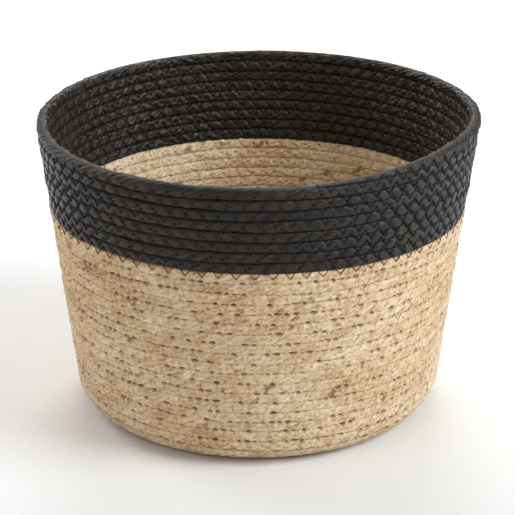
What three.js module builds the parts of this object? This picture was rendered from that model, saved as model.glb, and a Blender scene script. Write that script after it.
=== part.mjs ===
// Round laundry basket, coiled and sewn: one cord is wound as a flat spiral for the base, turns up
// round a soft corner and climbs as a helix for the flared wall. Each turn of the coil is sewn to the
// turn beside it. A natural cord makes the base and the lower wall, a black cord makes the band, and
// the black cord's tapered tail ends on the rim. Millimetres, +Z up, origin at the middle of the base.
import * as THREE from 'three';

// ---- driving dimensions ----
const HEIGHT = 280;
const RIM_RADIUS = 200;
const BASE_RADIUS = 166;
const CORD_THICKNESS = 10;
const COURSE_PITCH = 9.8;
const GAP = 0.3;
const CORNER_RADIUS = 24;
const CORD_SHOULDER = 2.5;

const BASE_COILS = 14;
const WALL_COURSES = 20;
const BAND_COURSES = 8;

// How finely each turn of the coil is faceted. Coarse turns lie inside fine ones.
const FINE_STEPS = 24;
const COARSE_STEPS = 12;
const COARSE_COILS = 3;
const CENTRE_STEPS = 15;
const TAIL_STEPS = 17;
const TAIL_TAPER_STEPS = 3;
const TAIL_TIP_SCALE = 0.2;
const BLACK_START_AZIMUTH = Math.PI;

// The seam thread lies in the outside groove between two courses.
const THREAD_HALF_WIDTH = 0.75;
const THREAD_INNER = 0.95;
const THREAD_OUTER = 2.3;

const NATURAL = { color: 0xc3a67b, roughness: 0.88 };
const BLACK = { color: 0x2b2927, roughness: 0.72 };
const NATURAL_THREAD = { color: 0xdcc9a4, roughness: 0.6 };
const BLACK_THREAD = { color: 0x232120, roughness: 0.6 };

// ---- profile of the cord's centreline: flat base, corner arc, straight leaning wall ----
const WALL_LEAN = Math.atan((RIM_RADIUS - BASE_RADIUS) / HEIGHT);
const FLOOR_Z = CORD_THICKNESS / 2;
const TOP_Z = HEIGHT - CORD_THICKNESS / 2;
const TOP_RADIUS = RIM_RADIUS - CORD_THICKNESS / 2;
const WALL_START_Z = FLOOR_Z + CORNER_RADIUS * (1 - Math.sin(WALL_LEAN));
const WALL_LENGTH = (TOP_Z - WALL_START_Z) / Math.cos(WALL_LEAN);
const WALL_START_RADIUS = TOP_RADIUS - WALL_LENGTH * Math.sin(WALL_LEAN);
const FLAT_LENGTH = WALL_START_RADIUS - CORNER_RADIUS * Math.cos(WALL_LEAN);
const CORNER_LENGTH = CORNER_RADIUS * (Math.PI / 2 - WALL_LEAN);
const PROFILE_LENGTH = FLAT_LENGTH + CORNER_LENGTH + WALL_LENGTH;

// Distances along the profile at which the cords start and end.
const TAIL_END = PROFILE_LENGTH;
const BLACK_START = TAIL_END - (BAND_COURSES + TAIL_STEPS / FINE_STEPS) * COURSE_PITCH;
const NATURAL_TURNS = BASE_COILS + WALL_COURSES;
const FIRST_TURN_END = BLACK_START - (NATURAL_TURNS - 1) * COURSE_PITCH;
const CENTRE_START = FIRST_TURN_END - (CENTRE_STEPS / COARSE_STEPS) * COURSE_PITCH;
const HALF_COURSE = (COURSE_PITCH - GAP) / 2;

// Point and direction of the profile in the (radius, height) plane.
function profileAt(distance) {
  if (distance < FLAT_LENGTH) {
    return { r: distance, z: FLOOR_Z, lean: Math.PI / 2 };
  }
  if (distance < FLAT_LENGTH + CORNER_LENGTH) {
    const turned = (distance - FLAT_LENGTH) / CORNER_RADIUS;
    return {
      r: FLAT_LENGTH + CORNER_RADIUS * Math.sin(turned),
      z: FLOOR_Z + CORNER_RADIUS * (1 - Math.cos(turned)),
      lean: Math.PI / 2 - turned,
    };
  }
  const climbed = distance - FLAT_LENGTH - CORNER_LENGTH;
  return {
    r: WALL_START_RADIUS + climbed * Math.sin(WALL_LEAN),
    z: WALL_START_Z + climbed * Math.cos(WALL_LEAN),
    lean: WALL_LEAN,
  };
}

// The coil climbs clockwise, seen from above.
function azimuthAt(distance) {
  return BLACK_START_AZIMUTH - (2 * Math.PI * (distance - BLACK_START)) / COURSE_PITCH;
}

// The tail thins towards its tip while it stays seated on the course below.
function tailScaleAt(distance) {
  const taperLength = (TAIL_TAPER_STEPS / FINE_STEPS) * COURSE_PITCH;
  const left = Math.min(1, Math.max(0, (TAIL_END - distance) / taperLength));
  return TAIL_TIP_SCALE + (1 - TAIL_TIP_SCALE) * left;
}

// A run of the coil, given by its stations along the profile. Its frame stays square to the profile:
// the section's x runs across the courses and its y runs from the outside to the inside.
class CoilRun extends THREE.Curve {
  constructor(stations, rise = 0) {
    super();
    this.stations = stations;
    this.rise = rise;
  }

  frameAt(station) {
    const azimuth = azimuthAt(station);
    const profile = profileAt(station + this.rise);
    const scale = this.rise === 0 ? tailScaleAt(station) : 1;
    const radial = new THREE.Vector3(Math.cos(azimuth), Math.sin(azimuth), 0);
    const up = new THREE.Vector3(0, 0, 1);
    const across = radial.clone().multiplyScalar(Math.sin(profile.lean));
    across.addScaledVector(up, Math.cos(profile.lean));
    const inward = radial.clone().multiplyScalar(-Math.cos(profile.lean));
    inward.addScaledVector(up, Math.sin(profile.lean)).multiplyScalar(scale);
    const point = radial.clone().multiplyScalar(profile.r).addScaledVector(up, profile.z);
    point.addScaledVector(across, (scale - 1) * HALF_COURSE);
    const along = new THREE.Vector3(Math.sin(azimuth), -Math.cos(azimuth), 0);
    return { point, along, across: across.multiplyScalar(scale), inward };
  }

  getPoint(t) {
    const last = this.stations.length - 1;
    return this.frameAt(this.stations[Math.round(t * last)]).point;
  }

  getSpacedPoints() {
    return this.stations.map((station) => this.frameAt(station).point);
  }

  computeFrenetFrames() {
    const frames = this.stations.map((station) => this.frameAt(station));
    return {
      tangents: frames.map((frame) => frame.along),
      normals: frames.map((frame) => frame.across),
      binormals: frames.map((frame) => frame.inward),
    };
  }
}

// Even stations from one distance to another. End faces stand back half a gap along the cord.
function evenStations(from, to, steps) {
  const stations = [];
  for (let i = 0; i <= steps; i += 1) {
    stations.push(from + ((to - from) * i) / steps);
  }
  return stations;
}

function shortenEnds(stations) {
  const shift = (station) => (GAP / 2 / profileAt(station).r) * (COURSE_PITCH / (2 * Math.PI));
  const last = stations.length - 1;
  const shortened = stations.slice();
  shortened[0] += shift(stations[0]);
  shortened[last] -= shift(stations[last]);
  return shortened;
}

// Section of the pressed cord: pointed where it meets its neighbours, flat inside and outside.
function cordSection() {
  const shoulder = HALF_COURSE - CORD_SHOULDER;
  const face = CORD_THICKNESS / 2;
  const section = new THREE.Shape();
  section.moveTo(HALF_COURSE, 0);
  section.lineTo(shoulder, face);
  section.lineTo(-shoulder, face);
  section.lineTo(-HALF_COURSE, 0);
  section.lineTo(-shoulder, -face);
  section.lineTo(shoulder, -face);
  section.closePath();
  return section;
}

function threadSection() {
  const section = new THREE.Shape();
  section.moveTo(0, -THREAD_INNER);
  section.lineTo(THREAD_HALF_WIDTH, -THREAD_OUTER);
  section.lineTo(-THREAD_HALF_WIDTH, -THREAD_OUTER);
  section.closePath();
  return section;
}

function sweep(name, section, run, look) {
  const geometry = new THREE.ExtrudeGeometry(section, {
    steps: run.stations.length - 1,
    bevelEnabled: false,
    extrudePath: run,
  });
  const material = new THREE.MeshStandardMaterial({ ...look, metalness: 0 });
  const mesh = new THREE.Mesh(geometry, material);
  mesh.name = name;
  return mesh;
}

// Natural turn number 1 is the tight coil at the middle of the base.
function naturalStations(turn) {
  const to = BLACK_START - (NATURAL_TURNS - turn) * COURSE_PITCH;
  if (turn === 1) {
    return evenStations(CENTRE_START, to, CENTRE_STEPS);
  }
  const steps = turn <= COARSE_COILS ? COARSE_STEPS : FINE_STEPS;
  return evenStations(to - COURSE_PITCH, to, steps);
}

function number(n) {
  return String(n).padStart(2, '0');
}

function baseCoils() {
  const group = new THREE.Group();
  for (let i = 1; i <= BASE_COILS; i += 1) {
    const run = new CoilRun(shortenEnds(naturalStations(i)));
    group.add(sweep(`base_coil_${number(i)}`, cordSection(), run, NATURAL));
  }
  return group;
}

function wallCourses() {
  const group = new THREE.Group();
  for (let i = 1; i <= WALL_COURSES; i += 1) {
    const run = new CoilRun(shortenEnds(naturalStations(BASE_COILS + i)));
    group.add(sweep(`wall_course_${number(i)}`, cordSection(), run, NATURAL));
  }
  return group;
}

function bandCourses() {
  const group = new THREE.Group();
  for (let i = 1; i <= BAND_COURSES; i += 1) {
    const from = BLACK_START + (i - 1) * COURSE_PITCH;
    const run = new CoilRun(shortenEnds(evenStations(from, from + COURSE_PITCH, FINE_STEPS)));
    group.add(sweep(`band_course_${number(i)}`, cordSection(), run, BLACK));
  }
  return group;
}

function rimTail() {
  const from = BLACK_START + BAND_COURSES * COURSE_PITCH;
  const run = new CoilRun(shortenEnds(evenStations(from, TAIL_END, TAIL_STEPS)));
  return sweep('rim_tail', cordSection(), run, BLACK);
}

// The thread follows the turn below it, half a pitch further up the profile.
function naturalThread() {
  const stations = [];
  for (let turn = 1; turn < NATURAL_TURNS; turn += 1) {
    stations.push(...naturalStations(turn).slice(turn === 1 ? 0 : 1));
  }
  const run = new CoilRun(shortenEnds(stations), COURSE_PITCH / 2);
  return sweep('seam_thread_natural', threadSection(), run, NATURAL_THREAD);
}

function blackThread() {
  const steps = BAND_COURSES * FINE_STEPS + TAIL_STEPS;
  const from = BLACK_START - COURSE_PITCH;
  const run = new CoilRun(
    shortenEnds(evenStations(from, TAIL_END - COURSE_PITCH, steps)),
    COURSE_PITCH / 2,
  );
  return sweep('seam_thread_black', threadSection(), run, BLACK_THREAD);
}

const basket = new THREE.Group();
basket.name = 'laundry_basket';
basket.add(baseCoils(), wallCourses(), bandCourses(), rimTail(), naturalThread(), blackThread());

export default basket;
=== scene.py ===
"""Coiled and sewn laundry basket: natural fibre cord below, black cord band above.

Every turn of the cord is a swept surface, with its twisted strands, the dents that the zigzag
stitches press into it and the needle holes modelled as geometry. The sewing threads are tubes that
cross from turn to turn on the outside and on the inside. Metres, in the CAD model's frame.

A place along the cord is given by s, the distance on the wall's profile from the middle of the base
to the rim. The cord moves one PITCH along the profile in every turn.
"""
import math
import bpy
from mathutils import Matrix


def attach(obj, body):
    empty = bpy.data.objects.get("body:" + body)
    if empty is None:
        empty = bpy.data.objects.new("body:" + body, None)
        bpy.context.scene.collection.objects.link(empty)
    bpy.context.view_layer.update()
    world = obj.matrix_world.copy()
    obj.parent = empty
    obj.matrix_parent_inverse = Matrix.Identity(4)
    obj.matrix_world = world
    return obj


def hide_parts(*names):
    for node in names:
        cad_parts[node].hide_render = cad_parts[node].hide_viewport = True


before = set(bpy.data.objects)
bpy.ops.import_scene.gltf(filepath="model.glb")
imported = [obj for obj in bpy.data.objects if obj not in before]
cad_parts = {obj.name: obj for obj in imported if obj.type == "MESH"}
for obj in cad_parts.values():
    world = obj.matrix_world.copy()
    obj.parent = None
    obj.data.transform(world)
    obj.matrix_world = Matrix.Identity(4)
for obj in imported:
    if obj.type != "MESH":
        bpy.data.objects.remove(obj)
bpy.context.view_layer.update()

from types import SimpleNamespace

import bpy
import numpy as np
from mathutils import Vector

TAU = 2 * math.pi

# ---- the coil's dimensions, the same as in the CAD model ----
HEIGHT = 0.280
RIM_RADIUS = 0.200
BASE_RADIUS = 0.166
THICKNESS = 0.010
PITCH = 0.0098
CORNER_RADIUS = 0.024
STEPS_PER_TURN = 24
BASE_COILS = 14
WALL_COURSES = 20
BAND_COURSES = 8
TAIL_TURNS = 17 / STEPS_PER_TURN
TAPER_TURNS = 3 / STEPS_PER_TURN
TAIL_TIP = 0.07  # thickness of the tail's tip, of the full cord

# ---- stitching ----
STITCH = 0.0140  # one zigzag, there and back
REACH = 0.44 * PITCH  # how far a stitch reaches into the turns on both sides
LEG_SLOPE = math.cos(math.atan(4 * REACH / STITCH))
PIT_WIDTH = 0.00095
PILLOW_WIDTH = 0.0018
HOLLOW_DEPTH = 0.0034  # depth at which the painted shade in the groove between two turns is at its darkest

# ---- the cord's twist ----
STRANDS = 8
LEAD = 0.072  # length of one full twist
GIRTH = 0.032  # once round the cord, for the materials' streaks

# ---- profile of the cord's centreline ----
LEAN = math.atan((RIM_RADIUS - BASE_RADIUS) / HEIGHT)
WALL_Z = THICKNESS / 2 + CORNER_RADIUS * (1 - math.sin(LEAN))
WALL_LENGTH = (HEIGHT - THICKNESS / 2 - WALL_Z) / math.cos(LEAN)
WALL_RADIUS = RIM_RADIUS - THICKNESS / 2 - WALL_LENGTH * math.sin(LEAN)
FLAT = WALL_RADIUS - CORNER_RADIUS * math.cos(LEAN)
ARC = CORNER_RADIUS * (math.pi / 2 - LEAN)
CORNER_FOOT = FLAT + ARC * 0.6  # up to here the cord is kept above the floor
END = FLAT + ARC + WALL_LENGTH
BAND_START = END - (BAND_COURSES + TAIL_TURNS) * PITCH
NATURAL_TURNS = BASE_COILS + WALL_COURSES
START = BAND_START - (NATURAL_TURNS - 1) * PITCH - 1.25 * PITCH
CENTRE = -0.45 * PITCH  # the cord's first end, tapered and tucked into the middle of the base

# ---- unevenness along the cord: rows of height, spacing and seed ----
WANDER = ((0.00050, 0.085, 11), (0.00016, 0.023, 12))
SWELL = ((0.00046, 0.052, 15), (0.00026, 0.019, 16))
PUFF = ((0.065, 0.034, 21), (0.03, 0.011, 22))
STITCH_DRIFT = ((0.10, 0.038, 5), (0.75, 0.31, 8))
REACH_DRIFT = ((0.13, 0.021, 6),)
DENT_DRIFT = ((0.25, 0.06, 43),)
SQUARENESS = ((1, 0.031, 46), (0.5, 0.012, 47))

# ---- relief of the cord's surface: spacing along it, steps round it and seed ----
TWIST_WARP = (0.026, 0.8, 31)
STRIPS = (0.0085, 2.4, 33)
LUMPS = (0.0055, 1.5, 34)
WRINKLES = (0.0026, 3.2, 35)

# ---- how the two cords differ; pairs are for the outside and the inside of the wall ----
NATURAL_CORD = SimpleNamespace(
    black=False,
    press=(0.00022, 0.00045),
    crease=(0.00026, 0.00028),
    crease_width=0.00060,
    bulge=(0.00012, 0.00028),
    pit=(0.00060, 0.00120),
    ridge=(0.00010, 0.00036),
    strip=0.00026,
    lump=(0.00030, 0.00056),
    wrinkle=(0.00024, 0.00062),
    # the next two rows weigh the painted shade between the strands and in the grooves between turns
    strand_shade=(0.08, 0.30),
    hollow_shade=(0.85, 0.46),
)
BLACK_CORD = SimpleNamespace(
    black=True,
    press=(0.00026, 0.00030),
    crease=(0.00140, 0.00070),
    crease_width=0.00072,
    bulge=(0.00085, 0.00050),
    pit=(0.00060, 0.00110),
    ridge=(0.00018, 0.00034),
    strip=0.00022,
    lump=(0.00028, 0.00054),
    wrinkle=(0.00012, 0.00026),
    # the next two rows weigh the painted shade between the strands and in the grooves between turns
    strand_shade=(0.10, 0.28),
    hollow_shade=(0.80, 0.50),
)
LEAST_PRESS = 0.00004

# ---- the rim's last course, with no seam above it ----
FREE_POWER = 2.2  # its upper edge is nearly round
FREE_RIDGE = 0.00065  # its strands stand out more
FREE_STRAND_SHADE = 0.55  # and the painted shade in the lines between them is darker
FREE_GAIN = 0.6  # its other relief is stronger by this share


# ---- the coil's path ----
def profile(s):
    """Radius, height and lean of the centreline at distances s along the profile."""
    turned = np.clip((s - FLAT) / CORNER_RADIUS, 0, math.pi / 2 - LEAN)
    climbed = np.maximum(s - FLAT - ARC, 0)
    r = np.minimum(s, FLAT) + CORNER_RADIUS * np.sin(turned) + climbed * math.sin(LEAN)
    z = THICKNESS / 2 + CORNER_RADIUS * (1 - np.cos(turned)) + climbed * math.cos(LEAN)
    return r, z, math.pi / 2 - turned


def azimuth(s):
    """The coil climbs clockwise, seen from above."""
    return math.pi - TAU * (s - BAND_START) / PITCH


def length_table():
    """Distances s and the length of cord wound up to each of them."""
    least_radius = 0.0025
    s = np.linspace(CENTRE, END + 2 * PITCH, 60001)
    speed = np.maximum(profile(s)[0], least_radius) * TAU / PITCH
    return s, np.concatenate([[0], np.cumsum((speed[1:] + speed[:-1]) / 2 * np.diff(s))])


TABLE_S, TABLE_LENGTH = length_table()


def wound(s):
    """Length of cord wound up to s."""
    return np.interp(s, TABLE_S, TABLE_LENGTH)


def unwound(length):
    """The place s that a length of cord reaches."""
    return np.interp(length, TABLE_LENGTH, TABLE_S)


def sway(az, z):
    """The whole wall's small departures from a true cone."""
    h = np.clip(z / HEIGHT, 0, 1)
    return 0.0011 * h * np.sin(2 * az + 0.7) + 0.0007 * h * np.sin(3 * az + 2.1)


def place(s, across, outward):
    """Points in space from a place on the cord's section."""
    r, z, lean = profile(s)
    az = azimuth(s)
    radius = r + across * np.sin(lean) + outward * np.cos(lean)
    height = z + across * np.cos(lean) - outward * np.sin(lean)
    radius = radius + sway(az, height)
    return np.stack([radius * np.cos(az), radius * np.sin(az), height], -1)


# ---- smooth repeatable noise ----
def hashed(ix, iy, seed):
    """A repeatable number between -1 and 1 for each pair of whole numbers."""
    h = (ix * 374761393 + iy * 668265263 + seed * 974634777) & 0xFFFFFFFF
    h = ((h ^ (h >> 13)) * 1274126177) & 0xFFFFFFFF
    return ((h ^ (h >> 16)) & 0xFFFF) / 32767.5 - 1


def noise(x, y, seed):
    """Value noise between -1 and 1 on a unit grid."""
    ix, iy = np.floor(x).astype(np.int64), np.floor(y).astype(np.int64)
    fx, fy = x - ix, y - iy
    fx, fy = fx * fx * (3 - 2 * fx), fy * fy * (3 - 2 * fy)
    low = hashed(ix, iy, seed) * (1 - fx) + hashed(ix + 1, iy, seed) * fx
    high = hashed(ix, iy + 1, seed) * (1 - fx) + hashed(ix + 1, iy + 1, seed) * fx
    return low * (1 - fy) + high * fy


def line_noise(x, seed):
    """Value noise between -1 and 1 along a line."""
    return noise(x, x * 0, seed)


def drift(length, rows):
    """Sum of noises along the cord, one for each row of height, spacing and seed."""
    return sum(height * line_noise(length / spacing, seed) for height, spacing, seed in rows)


def surface_noise(along, around, row):
    """Value noise over the cord's surface."""
    spacing, steps, seed = row
    return noise(along / spacing, around * steps, seed)


def sided(outside, pair):
    """The first value of a pair on the outside of the wall, the second on its inside."""
    return np.where(outside > 0, pair[0], pair[1])


# ---- the cord's unevenness ----
def wander(s):
    """How far the seam above the turn at s strays from its even place."""
    return drift(wound(s), WANDER) * np.clip((s - 0.02) / 0.05, 0, 1)


def swell(s):
    """How far the turn at s stands out of the wall, or sinks into it."""
    on_wall = np.clip((s - FLAT - ARC) / 0.03, 0, 1)
    before_tip = np.clip((END - s) / 0.004, 0, 1)
    return drift(wound(s), SWELL) * on_wall * before_tip


def tail_scale(s):
    """The cord's size as it tapers to the tail's tip."""
    left = np.clip((END - s) / (TAPER_TURNS * PITCH), 0, 1)
    return TAIL_TIP + (1 - TAIL_TIP) * left


def start_scale(s):
    """The cord's size as it grows from its first end."""
    return np.clip(0.5 + s / PITCH, 0, 1)


# ---- the seams ----
def zigzag(phase):
    """A stitch's place across its seam, 1 at the top and -1 at the bottom."""
    return 1 - 4 * np.abs(phase - np.floor(phase) - 0.5)


def seam_phase(s):
    """Stitch count along the seam above the turn at s."""
    length = wound(s + PITCH / 2)
    return length / STITCH + drift(length, STITCH_DRIFT)


def seam_reach(s):
    """Reach of the stitches in the seam above the turn at s."""
    return REACH * (1 + drift(wound(s), REACH_DRIFT))


def opening(phase):
    """How far the groove of a seam gapes between two crossings of its thread, 0 to 1."""
    cell = np.floor(phase * 2 + 0.5)
    whole = cell.astype(np.int64)
    strength = 0.5 + 0.5 * hashed(whole, 0, 61)
    width = 1.02 + 0.28 * hashed(whole, 0, 62)
    aside = 0.10 * hashed(whole, 0, 63)
    local = np.clip((phase * 2 - cell - aside) / width, -0.5, 0.5)
    return np.clip(1.5 * strength - 0.10, 0, 1) * np.clip(np.cos(math.pi * local), 0, 1) ** 0.35


def dented(s):
    """Where the stitches bite hard into the black cord (1) and where the grooves show more (0)."""
    sides = 0.5 - 0.5 * np.cos(2 * (azimuth(s) + math.radians(97)))
    return np.clip(sides * 1.5 - 0.1 + drift(wound(s), DENT_DRIFT), 0, 1)


def section_power(s, outside, kind, open_seam):
    """Exponent of the pressed cord's outline: 2 is round, larger is flatter and squarer."""
    if kind.black:
        uneven = drift(wound(s), SQUARENESS)
        return sided(outside, (3.3 + 1.2 * dented(s) + 0.9 * uneven, 3.2 + 0.6 * uneven))
    return sided(outside, (14 - 11.8 * open_seam ** 0.5, 3.0))


def pressed(s, outside, kind, open_seam):
    """How far a turn is squeezed past the middle of its seam."""
    hard = dented(s) if kind.black else 1 - open_seam
    return sided(outside, (LEAST_PRESS + kind.press[0] * hard, kind.press[1]))


def dents(s, outside, kind):
    """Depth of the crease under a thread and height of the bulge between two threads."""
    bite = 0.35 + 0.65 * dented(s) if kind.black else 1
    depth = sided(outside, (kind.crease[0] * bite, kind.crease[1]))
    bulge = sided(outside, (kind.bulge[0] * bite, kind.bulge[1]))
    return depth, bulge


# ---- meshes ----
def mesh_object(name, points, faces, attributes, material):
    """An object from its points, arrays of faces and values for each point."""
    mesh = bpy.data.meshes.new(name)
    mesh.vertices.add(len(points))
    mesh.vertices.foreach_set("co", points.astype(np.float32).ravel())
    sizes = np.concatenate([np.full(len(f), f.shape[1], np.int32) for f in faces])
    loops = np.concatenate([f.ravel() for f in faces]).astype(np.int32)
    starts = np.concatenate([[0], np.cumsum(sizes)[:-1]]).astype(np.int32)
    mesh.loops.add(len(loops))
    mesh.loops.foreach_set("vertex_index", loops)
    mesh.polygons.add(len(sizes))
    mesh.polygons.foreach_set("loop_start", starts)
    mesh.polygons.foreach_set("use_smooth", np.full(len(sizes), True))
    for key, values in attributes.items():
        is_vector = values.ndim == 2
        layer = mesh.attributes.new(key, "FLOAT_VECTOR" if is_vector else "FLOAT", "POINT")
        layer.data.foreach_set(
            "vector" if is_vector else "value", values.astype(np.float32).ravel()
        )
    mesh.update(calc_edges=True)
    mesh.validate()
    mesh.materials.append(material)
    piece = bpy.data.objects.new(name, mesh)
    bpy.context.scene.collection.objects.link(piece)
    return piece


def tube_faces(rings, around, first=0):
    """Quads between neighbouring rings of a tube, facing outward."""
    i = np.arange(rings - 1)[:, None] * around + np.arange(around)[None, :]
    j = np.arange(rings - 1)[:, None] * around + (np.arange(around)[None, :] + 1) % around
    return np.stack([i, i + around, j + around, j], -1).reshape(-1, 4) + first


def end_faces(rings, around, first=0):
    """Triangles that close both ends of a tube, whose two end points follow its rings."""
    near = np.arange(around)
    after = (near + 1) % around
    last_ring = (rings - 1) * around
    centre = rings * around
    start = np.stack([near, after, np.full(around, centre)], -1)[:, ::-1]
    stop = np.stack([near + last_ring, after + last_ring, np.full(around, centre + 1)], -1)
    return np.concatenate([start, stop]) + first


def unit(vectors):
    """The vectors at length 1."""
    return vectors / np.linalg.norm(vectors, axis=-1, keepdims=True)


def hand_in(piece, node):
    """The piece rides the only body, in place of a CAD node."""
    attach(piece, "root")
    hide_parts(node)


# ---- one turn of the cord ----
class Turn:
    """One turn of the cord from s0 to s1: a row for each ring, a column for each point of it."""

    end_gap = 0.00004  # left between two turns' ends
    tip_length = 0.0016

    def __init__(self, s0, s1, kind, step, around):
        self.kind = kind
        self.is_tail = s1 > END - 1e-6
        self.seed = (s0 / PITCH) * 7.31 % 50
        rings = int(math.ceil((wound(s1) - wound(s0)) / step)) + 1
        self.along = np.linspace(wound(s0) + self.end_gap, wound(s1) - self.end_gap, rings)[:, None]
        self.s = unwound(self.along)
        self.angle = TAU * np.arange(around)[None, :] / around + 0 * self.s
        self.up, self.out = np.cos(self.angle), np.sin(self.angle)
        self.outside = (self.out > 0).astype(float)
        self.find_seams()
        self.press()
        self.mark_stitches()
        self.roughen()

    def find_seams(self):
        """The seams above and below; the inside thread runs half a stitch behind."""
        s, behind = self.s, 0.5 * (1 - self.outside)
        self.has_above = (s < END - PITCH).astype(float)
        self.has_below = (s > START + PITCH).astype(float)
        self.phase_above = seam_phase(s) + behind
        self.phase_below = seam_phase(s - PITCH) + behind
        self.open_seam = np.where(
            self.up > 0,
            opening(self.phase_above) * self.has_above,
            opening(self.phase_below) * self.has_below,
        )

    def press(self):
        """The pressed outline: points x across the seams and y out of the wall, and normals."""
        s, outside, up, out = self.s, self.outside, self.up, self.out
        power = section_power(s, outside, self.kind, self.open_seam)
        power = np.where((up > 0) & (self.has_above < 0.5), FREE_POWER, power)
        self.scale = tail_scale(s) * start_scale(s)
        squeeze = pressed(s, outside, self.kind, self.open_seam)
        above = (PITCH / 2 + (wander(s) + squeeze) * self.has_above) * self.scale
        below = (PITCH / 2 + (squeeze - wander(s - PITCH)) * self.has_below) * self.scale
        half = np.where(up > 0, above, below)
        puff = 1 + drift(self.along, PUFF)
        self.thick = THICKNESS / 2 * self.scale ** 0.4 * puff
        radius = (np.abs(up) / half) ** power + (np.abs(out) / self.thick) ** power
        radius = radius ** (-1 / power)
        x, self.y = radius * up, radius * out
        normal_x = np.sign(up) * np.abs(x / half) ** (power - 1) / half
        normal_y = np.sign(out) * np.abs(self.y / self.thick) ** (power - 1) / self.thick
        size = np.hypot(normal_x, normal_y)
        self.normal_x, self.normal_y = normal_x / size, normal_y / size
        # 1 on the broad faces, 0 inside the seams
        self.face = np.clip(np.abs(self.normal_y) * (2.4 - 0.8 * outside) - 0.15, 0, 1)
        shift = (tail_scale(s) - start_scale(s)) * PITCH / 2
        self.x = x + shift
        self.top, self.bottom = shift + above, shift - below

    def mark_stitches(self):
        """Creases under the threads, pits at the needle holes and pillows between them."""
        reach_above, reach_below = seam_reach(self.s), seam_reach(self.s - PITCH)
        no_above, no_below = 1 - self.has_above, 1 - self.has_below
        leg_above = self.x - self.top - reach_above * zigzag(self.phase_above)
        leg_below = self.x - self.bottom - reach_below * zigzag(self.phase_below)
        leg = np.minimum(
            np.abs(leg_above) * LEG_SLOPE + no_above,
            np.abs(leg_below) * LEG_SLOPE + no_below,
        )
        hole_above = np.hypot(
            (self.phase_above - np.round(self.phase_above)) * STITCH,
            self.x - (self.top - reach_above),
        )
        hole_below = np.hypot(
            (self.phase_below - np.floor(self.phase_below) - 0.5) * STITCH,
            self.x - (self.bottom + reach_below),
        )
        hole = np.minimum(hole_above + no_above, hole_below + no_below)
        self.crease = np.exp(-((leg / self.kind.crease_width) ** 2))
        self.pillow = 1 - np.exp(-((leg / PILLOW_WIDTH) ** 2))
        self.pit = np.exp(-((hole / PIT_WIDTH) ** 2))

    def roughen(self):
        """Twisted strands, lumps and flat fibre strips, and the marks of the stitches."""
        along, angle, outside, kind = self.along, self.angle, self.outside, self.kind
        self.free = (1 - self.has_above * self.has_below) * kind.black
        warp = 0.40 * surface_noise(along, angle, TWIST_WARP)
        twist = angle / TAU * STRANDS - along * STRANDS / LEAD + warp
        self.between = 1 - np.abs(np.sin(math.pi * twist))
        relief = kind.strip * surface_noise(along, twist, STRIPS)
        relief = relief + sided(outside, kind.lump) * surface_noise(along, angle, LUMPS)
        relief = relief + sided(outside, kind.wrinkle) * surface_noise(along, angle, WRINKLES)
        ridge = np.where(self.free > 0, FREE_RIDGE, sided(outside, kind.ridge))
        relief = relief * (1 + FREE_GAIN * self.free) + ridge * (0.3 - self.between ** 1.3)
        depth, bulge = dents(self.s, outside, kind)
        relief = relief + bulge * (self.pillow - 0.75) - depth * self.crease
        relief = relief - sided(outside, kind.pit) * self.pit
        relief = relief * self.face * np.minimum(1, self.scale)
        self.x = self.x + self.normal_x * relief
        self.y = self.y + self.normal_y * relief + swell(self.s)
        self.rest_on_floor()

    def rest_on_floor(self):
        """The underside of the base stays just above the floor."""
        _, z, lean = profile(self.s)
        height = z + self.x * np.cos(lean) - self.y * np.sin(lean)
        lift = np.maximum(0, 0.0001 - height)
        self.y = np.where(self.s < CORNER_FOOT, self.y - lift, self.y)

    def hollow_shade(self):
        """How deep each point lies in a seam, a crease, a needle hole or a line between strands, 0
        to 1: the materials paint shade there and make the surface rougher.
        """
        outside, kind = self.outside, self.kind
        depth = (self.thick - np.abs(self.y - swell(self.s))) / HOLLOW_DEPTH
        groove = np.clip(depth, 0, 1) * (self.has_above + self.has_below) / 2
        # painted shade along the creases under the threads, stronger where the stitches bite hard
        if kind.black:
            line = sided(outside, (0.45 + 0.55 * dented(self.s), 0.3))
        else:
            line = 0.08
        strand_shade = np.where(self.free > 0, FREE_STRAND_SHADE, sided(outside, kind.strand_shade))
        total = sided(outside, kind.hollow_shade) * groove + line * self.crease * self.face
        total = total + 0.5 * self.pit * self.face + strand_shade * self.between ** 3 * self.face
        return np.clip(total, 0, 1)

    def cord_place(self):
        """Place along the cord and round it, following the twist, and a number for the turn."""
        around = self.angle / TAU * GIRTH - self.along * GIRTH / LEAD
        return np.stack([self.along + 0 * around, around, self.seed + 0 * around], -1)

    def build(self, name, material):
        """The turn's object."""
        points = place(self.s + 0 * self.x, self.x, self.y)
        rings, around = self.x.shape
        ends = np.stack([points[0].mean(0), points[-1].mean(0)])
        if self.is_tail:
            ends[1] += unit(ends[1] - points[-2].mean(0)) * self.tip_length
        end_places = np.array([[self.along[i, 0], 0, self.seed] for i in (0, -1)])
        # painted light: 1 on the inside of the wall, where the materials make the colour a little
        # lighter against the shade there
        inner = np.clip(0.5 - 2 * self.out, 0, 1)
        # painted shade in the seams, creases, needle holes and lines between strands, and at the
        # turn's two ends
        attributes = {
            "cord": np.concatenate([self.cord_place().reshape(-1, 3), end_places]),
            "hollow_shade": np.concatenate([self.hollow_shade().ravel(), [0.6, 0.3]]),
            "inner": np.concatenate([inner.ravel(), [0, 0]]),
        }
        points = np.concatenate([points.reshape(-1, 3), ends])
        faces = [tube_faces(rings, around), end_faces(rings, around)]
        return mesh_object(name, points, faces, attributes, material)


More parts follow.
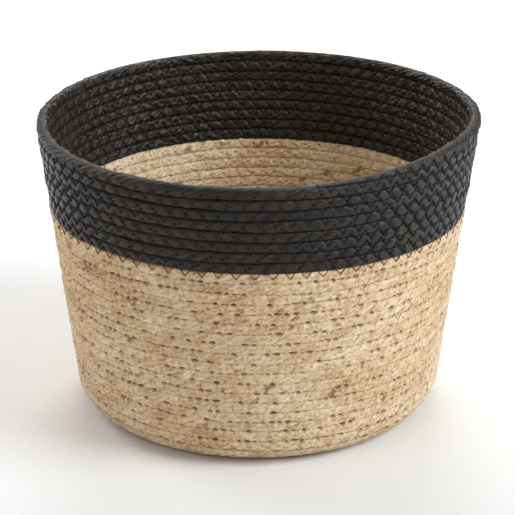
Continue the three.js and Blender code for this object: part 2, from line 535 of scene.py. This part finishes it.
# ---- the zigzag threads ----
THREAD_PROUD = 0.00023  # how far the outer thread stands over the pressed cord
LOW_LEG = 0.00024  # one leg of each zigzag lies this much lower than the other
SIDE_PROUD = 0.00013  # more at SIDE_AZIMUTH, less on the far side
SIDE_AZIMUTH = math.radians(-62)
LONG_DRIFT = 0.00020
SHORT_DRIFT = 0.00010
TEETH_PROUD = 0.00010  # the black thread lies on top of the natural cord
PULLED_IN = 0.0008  # how deep the thread dips at its needle holes
PULL_WIDTH = 0.16
DEEPEST_THREAD = 0.0017
FLOOR_ROOM = 0.00045


def crossings(s_from, s_to, outside, per_leg):
    """Stitch counts at even steps of a zigzag, and the places s where they are reached."""
    rows_per_turn = 1600
    table = np.linspace(s_from, s_to, max(400, int((s_to - s_from) / PITCH * rows_per_turn)))
    phase = seam_phase(table) + (0 if outside else 0.5)
    first = math.ceil(phase[0] * 2) * per_leg
    last = math.floor(phase[-1] * 2) * per_leg
    at = np.arange(first, last + 1) / (2 * per_leg)
    return at, np.interp(at, phase, table)


def proud_outside(s, at, on_black, black):
    """How far the outer thread stands over the cord: some stitches are half buried in fibres."""
    lower = np.where(np.floor(at * 2) % 2 == 0, LOW_LEG, 0.0)
    proud = THREAD_PROUD - lower + LONG_DRIFT * line_noise(at / 7, 71)
    proud = proud + SIDE_PROUD * np.cos(azimuth(s) - SIDE_AZIMUTH)
    proud = proud + SHORT_DRIFT * line_noise(at * 0.9, 72) + TEETH_PROUD * black
    return np.where(on_black, 0.00008, proud)


def proud_inside(on_black, black):
    """How far the inner thread stands over the cord."""
    return np.where(on_black, 0.00002, -0.00024 - 0.00060 * black)


def cord_surface(s, offset, scale, outside, on_black):
    """Height of the pressed cord at an offset from the seam, and its full height and crease."""
    half = np.where(offset < 0, PITCH / 2, PITCH / 2 * scale)
    from_middle = np.where(offset < 0, half + offset, -half + offset)
    outer = np.full(len(s), 1.0 if outside else 0.0)
    black, natural = (
        (section_power(s, outer, kind, 0 * s), *dents(s, outer, kind))
        for kind in (BLACK_CORD, NATURAL_CORD)
    )
    power, depth, bulge = (np.where(on_black, b, n) for b, n in zip(black, natural))
    shape = np.clip(1 - np.abs(from_middle / half) ** power, 0, 1) ** (1 / power)
    thick = THICKNESS / 2 * np.where(offset < 0, 1, scale ** 0.4)
    return thick * shape - 0.75 * bulge - depth, thick, depth


def thread_path(s_from, s_to, outside, per_leg, black):
    """Places s, across and outward of the zigzag over a seam, and the thread's thickness."""
    at, s = crossings(s_from, s_to, outside, per_leg)
    wave = zigzag(at)
    scale = tail_scale(s + PITCH)
    offset = seam_reach(s) * np.where(wave > 0, scale, 1) * wave
    # the turn under the thread: the black seam starts over the last natural course
    on_black = black & ((offset > 0) | (s > BAND_START))
    on_natural = (black & ~on_black).astype(float)
    surface, thick, depth = cord_surface(s, offset, scale, outside, on_black)
    if outside:
        proud = proud_outside(s, at, on_black, black)
    else:
        proud = proud_inside(on_black, black)
    rise = np.maximum(surface, thick - DEEPEST_THREAD - depth * 0.5) + proud
    dip = np.exp(-(((1 - np.abs(wave)) / PULL_WIDTH) ** 2))
    rise = rise - PULLED_IN * (1 - on_natural) * dip * np.minimum(1, scale)
    crossed = np.clip(offset / 0.0024 + 0.5, 0, 1)
    sign = 1 if outside else -1
    rise = rise + sign * (swell(s) * (1 - crossed) + swell(s + PITCH) * crossed)
    # nothing stands proud of the underside of the base
    rise = np.where(s < CORNER_FOOT, np.minimum(rise, THICKNESS / 2 - FLOOR_ROOM), rise)
    return s, PITCH / 2 + wander(s) + offset, sign * rise, 1 - 0.25 * on_natural


class Tubes:
    """Four-sided tubes, gathered into one mesh."""

    sides = 4

    def __init__(self, first_angle):
        self.angle = TAU * (np.arange(self.sides) + first_angle) / self.sides
        self.points, self.quads, self.caps = [], [], []
        self.count = 0

    def add(self, centre, side, out, radius):
        """One closed tube; side and out are the directions across its centre line."""
        cos, sin = np.cos(self.angle)[None, :, None], np.sin(self.angle)[None, :, None]
        spokes = cos * side[:, None, :] + sin * out[:, None, :]
        ring = centre[:, None, :] + radius[:, None, None] * spokes
        self.points += [ring.reshape(-1, 3), centre[[0, -1]]]
        self.quads.append(tube_faces(len(centre), self.sides, self.count))
        self.caps.append(end_faces(len(centre), self.sides, self.count))
        self.count += len(centre) * self.sides + 2

    def build(self, name, run, material):
        """The tubes' object; run is the place along the thread of every point."""
        faces = [np.concatenate(self.quads), np.concatenate(self.caps)]
        return mesh_object(name, np.concatenate(self.points), faces, {"run": run}, material)


def threads(name, runs, material, radius, black, per_leg=5):
    """One object made of the zigzag thread's runs: (from, to, outside) for each."""
    tubes = Tubes(0.5)
    lengths = []
    for s_from, s_to, outside in runs:
        s, across, outward, girth = thread_path(s_from, s_to, outside, per_leg, black)
        centre = place(s, across, outward)
        tangent = unit(np.gradient(centre, axis=0))
        side = unit(np.cross(tangent, unit(place(s, across, outward + 0.001) - centre)))
        tubes.add(centre, side, np.cross(side, tangent), radius * girth)
        steps = np.linalg.norm(np.diff(centre, axis=0), axis=1)
        run = np.concatenate([[0], np.cumsum(steps)])
        lengths += [np.repeat(run, tubes.sides), run[[0, -1]]]
    return tubes.build(name, np.concatenate(lengths), material)


def fibres(name, rows, radius, material):
    """Fine tapering fibres, drooping a little: (root, direction, length) for each."""
    tubes = Tubes(0.0)
    t = np.linspace(0, 1, 7)[:, None]
    droop = np.array([0, 0, -0.35])
    for root, way, length in rows:
        way = unit(way)
        side = unit(np.cross(way, (0.3, 0.2, 1.0)))
        out = np.cross(side, way)
        centre = root + way * length * t + droop * length * t ** 2
        spokes = [np.broadcast_to(v, centre.shape) for v in (side, out)]
        tubes.add(centre, *spokes, radius * (1 - 0.8 * t[:, 0]))
    return tubes.build(name, np.linspace(0, 0.05, tubes.count), material)


# ---- materials ----
class Graph:
    """A short way to write a material's nodes."""

    def __init__(self, name):
        self.material = bpy.data.materials.new(name)
        self.material.use_nodes = True
        self.tree = self.material.node_tree
        self.tree.nodes.clear()
        self.output = self.tree.nodes.new("ShaderNodeOutputMaterial")
        self.shader = self.tree.nodes.new("ShaderNodeBsdfPrincipled")
        self.link(self.shader.outputs[0], self.output.inputs["Surface"])

    def link(self, a, b):
        self.tree.links.new(a, b)

    def feed(self, socket, value):
        """Link a socket to another one, or set its value."""
        if isinstance(value, bpy.types.NodeSocket):
            self.link(value, socket)
        else:
            socket.default_value = value

    def set(self, socket, value):
        """Feed one of the shader's own sockets."""
        self.feed(self.shader.inputs[socket], value)

    def attribute(self, name, output):
        node = self.tree.nodes.new("ShaderNodeAttribute")
        node.attribute_name = name
        return node.outputs[output]

    def object_place(self):
        return self.tree.nodes.new("ShaderNodeTexCoord").outputs["Object"]

    def along_x(self, value):
        """A vector with the value as its X."""
        node = self.tree.nodes.new("ShaderNodeCombineXYZ")
        self.link(value, node.inputs[0])
        return node.outputs[0]

    def scaled(self, vector, factors):
        node = self.tree.nodes.new("ShaderNodeVectorMath")
        node.operation = "MULTIPLY"
        self.feed(node.inputs[0], vector)
        node.inputs[1].default_value = factors
        return node.outputs[0]

    def noise(self, vector, scale, detail, rough):
        node = self.tree.nodes.new("ShaderNodeTexNoise")
        self.feed(node.inputs["Vector"], vector)
        node.inputs["Scale"].default_value = scale
        node.inputs["Detail"].default_value = detail
        node.inputs["Roughness"].default_value = rough
        return node.outputs["Fac"]

    def math(self, operation, a, b, clamp=False):
        node = self.tree.nodes.new("ShaderNodeMath")
        node.operation = operation
        node.use_clamp = clamp
        self.feed(node.inputs[0], a)
        self.feed(node.inputs[1], b)
        return node.outputs[0]

    def total(self, *terms):
        """Sum of values, each times its weight."""
        parts = [self.math("MULTIPLY", value, weight) for value, weight in terms]
        result = parts[0]
        for part in parts[1:]:
            result = self.math("ADD", result, part)
        return result

    def ramp(self, value, stops):
        node = self.tree.nodes.new("ShaderNodeValToRGB")
        self.feed(node.inputs[0], value)
        elements = node.color_ramp.elements
        while len(elements) < len(stops):
            elements.new(0.5)
        for element, (place_at, colour) in zip(elements, stops):
            element.position = place_at
            element.color = (*colour, 1)
        return node.outputs["Color"]

    def mix(self, factor, a, b):
        """Colour a with a share of the plain colour b."""
        node = self.tree.nodes.new("ShaderNodeMix")
        node.data_type = "RGBA"
        self.feed(node.inputs[0], factor)
        self.link(a, node.inputs[6])
        node.inputs[7].default_value = (*b, 1)
        return node.outputs[2]

    def range(self, value, low, high, to_low, to_high):
        node = self.tree.nodes.new("ShaderNodeMapRange")
        self.feed(node.inputs[0], value)
        for i, v in enumerate((low, high, to_low, to_high)):
            node.inputs[i + 1].default_value = v
        return node.outputs[0]

    def roughness(self, streak, dull, glossy, hollow_shade, gain):
        """Roughness between two values along the streaks, rougher in the hollows."""
        base = self.range(streak, 0.3, 0.7, dull, glossy)
        self.set("Roughness", self.math("ADD", base, self.math("MULTIPLY", hollow_shade, gain), True))

    def bump(self, height, strength, distance):
        node = self.tree.nodes.new("ShaderNodeBump")
        node.inputs["Strength"].default_value = strength
        node.inputs["Distance"].default_value = distance
        self.link(height, node.inputs["Height"])
        self.set("Normal", node.outputs[0])


def natural_cord():
    """Pale plant fibre with brown stains and flecks; painted shade in its grooves, creases and
    needle holes, and painted light on the inside of the wall.
    """
    g = Graph("natural_cord")
    cord = g.attribute("cord", "Vector")
    hollow_shade = g.attribute("hollow_shade", "Fac")
    where = g.object_place()
    streak = g.noise(g.scaled(cord, (120, 1000, 1)), 1, 3, 0.65)
    strip = g.noise(g.scaled(cord, (60, 380, 1)), 1, 2, 0.55)
    patch = g.noise(g.scaled(cord, (17, 40, 1)), 1, 3, 0.6)
    fleck = g.noise(g.scaled(cord, (360, 620, 1)), 1, 2, 0.6)
    mottle = g.noise(where, 330, 2, 0.6)
    knot = g.noise(g.scaled(cord, (75, 90, 1)), 1, 2, 0.5)
    blotch = g.noise(where, 15, 2, 0.5)
    # painted light: the inside of the wall is made a little lighter, against the shade it stands in
    inner = g.attribute("inner", "Fac")
    tone = g.total(
        (strip, 0.26), (patch, 0.24), (streak, 0.26), (blotch, 0.20), (mottle, 0.30), (inner, 0.045)
    )
    colour = g.ramp(
        tone,
        [
            (0.47, (0.29, 0.156, 0.060)),
            (0.545, (0.50, 0.322, 0.163)),
            (0.62, (0.67, 0.487, 0.288)),
            (0.71, (0.79, 0.642, 0.446)),
            (0.80, (0.88, 0.780, 0.618)),
        ],
    )
    colour = g.mix(g.range(fleck, 0.59, 0.70, 0, 0.72), colour, (0.25, 0.130, 0.052))
    colour = g.mix(g.range(knot, 0.63, 0.73, 0, 0.85), colour, (0.23, 0.122, 0.048))
    # painted shade: dark brown in the grooves, creases, needle holes and lines between strands
    dark = g.math("MULTIPLY", g.math("POWER", hollow_shade, 1.25), 0.97)
    g.set("Base Color", g.mix(dark, colour, (0.20, 0.090, 0.028)))
    g.roughness(streak, 0.95, 0.68, hollow_shade, 0.3)
    g.set("Specular IOR Level", 0.30)
    g.set("Sheen Weight", 0.07)
    g.set("Sheen Roughness", 0.5)
    g.bump(g.total((streak, 0.55), (strip, 0.4), (fleck, 0.4), (mottle, 0.55)), 0.9, 0.0011)
    return g.material


def black_cord():
    """The same fibre, dyed black and a little glossy; painted shade in its grooves, creases and
    needle holes, and painted light on the inside of the wall.
    """
    g = Graph("black_cord")
    cord = g.attribute("cord", "Vector")
    hollow_shade = g.attribute("hollow_shade", "Fac")
    streak = g.noise(g.scaled(cord, (80, 950, 1)), 1, 3, 0.65)
    strip = g.noise(g.scaled(cord, (40, 330, 1)), 1, 2, 0.5)
    patch = g.noise(g.scaled(cord, (14, 30, 1)), 1, 2, 0.5)
    # painted light: the inside of the wall is made a little lighter, against the shade it stands in
    inner = g.attribute("inner", "Fac")
    colour = g.ramp(
        g.total((strip, 0.4), (patch, 0.25), (streak, 0.4), (inner, 0.04)),
        [
            (0.38, (0.0046, 0.0028, 0.0019)),
            (0.52, (0.0104, 0.0072, 0.0054)),
            (0.66, (0.0285, 0.0221, 0.0177)),
            (0.80, (0.0780, 0.0665, 0.0580)),
        ],
    )
    # painted shade: near black in the grooves, creases, needle holes and lines between strands
    dark = g.math("MULTIPLY", hollow_shade, 0.95)
    g.set("Base Color", g.mix(dark, colour, (0.0022, 0.0016, 0.0012)))
    g.roughness(streak, 0.42, 0.22, hollow_shade, 0.8)
    g.set("Specular IOR Level", 0.37)
    g.set("Specular Tint", (1.0, 0.97, 0.94, 1))
    g.bump(g.total((streak, 0.7), (strip, 0.6)), 0.9, 0.0009)
    return g.material


def thread_material(name, light, dark, roughness):
    """Twisted sewing thread, striped along its length."""
    g = Graph(name)
    run = g.along_x(g.attribute("run", "Fac"))
    ply = g.noise(g.scaled(run, (900, 1, 1)), 1, 1, 0.5)
    slow = g.noise(g.scaled(run, (30, 1, 1)), 1, 2, 0.5)
    tone = g.total((ply, 0.5), (slow, 0.5))
    g.set("Base Color", g.ramp(tone, [(0.3, dark), (0.7, light)]))
    g.set("Roughness", g.range(ply, 0.3, 0.7, roughness + 0.1, roughness))
    g.bump(ply, 0.5, 0.0003)
    return g.material


def floor_material():
    """A plain studio floor, nearly white."""
    g = Graph("studio_floor")
    cloud = g.noise(g.object_place(), 3, 2, 0.5)
    colour = g.ramp(cloud, [(0.3, (0.80, 0.807, 0.815)), (0.7, (0.82, 0.827, 0.835))])
    g.set("Base Color", colour)
    g.set("Roughness", 0.75)
    g.set("Specular IOR Level", 0.2)
    return g.material


NATURAL_MAT = natural_cord()
BLACK_MAT = black_cord()
PALE_THREAD = thread_material("natural_thread", (0.90, 0.82, 0.66), (0.76, 0.65, 0.47), 0.45)
DARK_THREAD = thread_material("black_thread", (0.011, 0.0095, 0.0085), (0.005, 0.0045, 0.004), 0.5)

# ---- the cord, one piece for each turn ----
DETAIL = 1.0
MIDDLE_MESH = (0.0006, 32)  # length of a step along the cord, points round the cord
BASE_MESH = (0.0013, 32)
WALL_MESH = (0.0009, 40)
BAND_MESH = (0.0008, 48)


def add_turn(node, s0, s1, kind, mesh_size):
    """One turn's piece, in place of the CAD node of the same name."""
    step, around = mesh_size
    turn = Turn(s0, s1, kind, step * DETAIL, around)
    piece = turn.build(f"{node}_cord", BLACK_MAT if kind.black else NATURAL_MAT)
    hand_in(piece, node)


def add_natural_turns():
    """The base and the natural part of the wall, from the middle outward."""
    for k in range(1, NATURAL_TURNS + 1):
        end = BAND_START - (NATURAL_TURNS - k) * PITCH
        begin = CENTRE if k == 1 else end - PITCH
        if k <= BASE_COILS:
            mesh_size = BASE_MESH if k > 2 else MIDDLE_MESH
            add_turn(f"base_coil_{k:02d}", begin, end, NATURAL_CORD, mesh_size)
        else:
            add_turn(f"wall_course_{k - BASE_COILS:02d}", begin, end, NATURAL_CORD, WALL_MESH)


def add_black_turns():
    """The band's courses and the tail that ends on the rim."""
    for k in range(1, BAND_COURSES + 1):
        begin = BAND_START + (k - 1) * PITCH
        add_turn(f"band_course_{k:02d}", begin, begin + PITCH, BLACK_CORD, BAND_MESH)
    add_turn("rim_tail", BAND_START + BAND_COURSES * PITCH, END, BLACK_CORD, BAND_MESH)


# ---- the sewing threads ----
WALL_START = BAND_START - (WALL_COURSES + 1) * PITCH
NATURAL_SEAM_END = BAND_START - PITCH
BLACK_SEAM_END = END - PITCH


def add_threads(name, runs, radius, black):
    """One piece of a sewing thread, in place of part of its CAD node."""
    piece = threads(name, runs, DARK_THREAD if black else PALE_THREAD, radius, black)
    if black:
        hand_in(piece, "seam_thread_black")
    else:
        hand_in(piece, "seam_thread_natural")


def add_all_threads():
    """The pale thread and the black one, on both faces of the wall."""
    base = (START, WALL_START)
    wall = (WALL_START, NATURAL_SEAM_END)
    band = (NATURAL_SEAM_END, BLACK_SEAM_END)
    add_threads("thread_base", [(*base, True), (*base, False)], 0.00030, False)
    add_threads("thread_wall_outside", [(*wall, True)], 0.00029, False)
    add_threads("thread_wall_inside", [(*wall, False)], 0.00026, False)
    add_threads("thread_band_outside", [(*band, True)], 0.00046, True)
    add_threads("thread_band_inside", [(*band, False)], 0.00030, True)


# ---- loose fibres where the black cord begins ----
FIBRE_RADIUS = 0.00030
FIBRES = (  # across the cord, height on its section, how far it points back, length
    (-0.0030, 0.0042, 0.9, 0.0062),
    (-0.0016, 0.0046, 0.5, 0.0048),
    (-0.0036, 0.0036, 1.3, 0.0070),
    (-0.0006, 0.0046, 1.0, 0.0040),
    (-0.0024, 0.0044, 0.2, 0.0056),
    (0.0010, 0.0046, 0.7, 0.0034),
)


def add_end_fibres():
    """A small tuft at the black cord's first end."""
    joint = BAND_START + 0.0006
    middle = place(joint, 0.0, 0.0)
    outward = unit(place(joint, 0.0, 0.001) - middle)
    back = unit(place(joint - 0.00002, 0.0, 0.0) - middle)
    rows = []
    for across, high, turn, length in FIBRES:
        way = outward + turn * back + np.array([0, 0, -0.25 + across * 90])
        rows.append((place(joint, across, high), way, length))
    piece = fibres("black_cord_end_fibres", rows, FIBRE_RADIUS, DARK_THREAD)
    hand_in(piece, "band_course_01")


# ---- floor, light and camera ----
def add_floor():
    """A wide plane under the basket."""
    half = 6
    corners = [(-half, -half, 0), (half, -half, 0), (half, half, 0), (-half, half, 0)]
    mesh = bpy.data.meshes.new("floor")
    mesh.from_pydata(corners, [], [(0, 1, 2, 3)])
    mesh.materials.append(floor_material())
    floor = bpy.data.objects.new("floor", mesh)
    bpy.context.scene.collection.objects.link(floor)


def set_world():
    """Even, slightly warm light from all sides."""
    world = bpy.data.worlds.new("studio")
    bpy.context.scene.world = world
    world.use_nodes = True
    background = world.node_tree.nodes["Background"]
    background.inputs["Color"].default_value = (1, 0.975, 0.945, 1)
    background.inputs["Strength"].default_value = 0.41


def aim(thing, place_at, target):
    """Put a lamp or camera in its place, looking at the target."""
    thing.location = place_at
    thing.rotation_mode = "QUATERNION"
    thing.rotation_quaternion = (Vector(target) - thing.location).to_track_quat("-Z", "Y")
    bpy.context.scene.collection.objects.link(thing)


def area_light(name, place_at, target, size, power, colour=(1, 1, 1)):
    """A round area lamp."""
    light = bpy.data.lights.new(name, "AREA")
    light.shape = "DISK"
    light.size = size
    light.energy = power
    light.color = colour
    aim(bpy.data.objects.new(name, light), place_at, target)


def add_camera():
    """The photograph's view."""
    data = bpy.data.cameras.new("camera")
    data.sensor_width = 36
    data.lens = 141.5
    data.clip_end = 50
    camera = bpy.data.objects.new("camera", data)
    aim(camera, (0, -1.75, 0.838), (0, 0, 0.132))
    bpy.context.scene.camera = camera
    bpy.context.scene.view_settings.view_transform = "Standard"


add_natural_turns()
add_black_turns()
add_all_threads()
add_end_fibres()
add_floor()
set_world()
area_light("key", (1.9, -0.75, 1.6), (0, 0, 0.15), 1.5, 56, (0.94, 0.98, 1.0))
area_light("backdrop", (0, 2.6, 2.2), (0, 1.8, 0), 2.0, 60)
area_light("fill", (-1.9, -1.2, 1.3), (0, 0, 0.05), 1.8, 8.6, (1.0, 0.90, 0.78))
area_light("side", (-1.8, 1.3, 1.4), (-0.3, 0, 0), 1.3, 22)
add_camera()
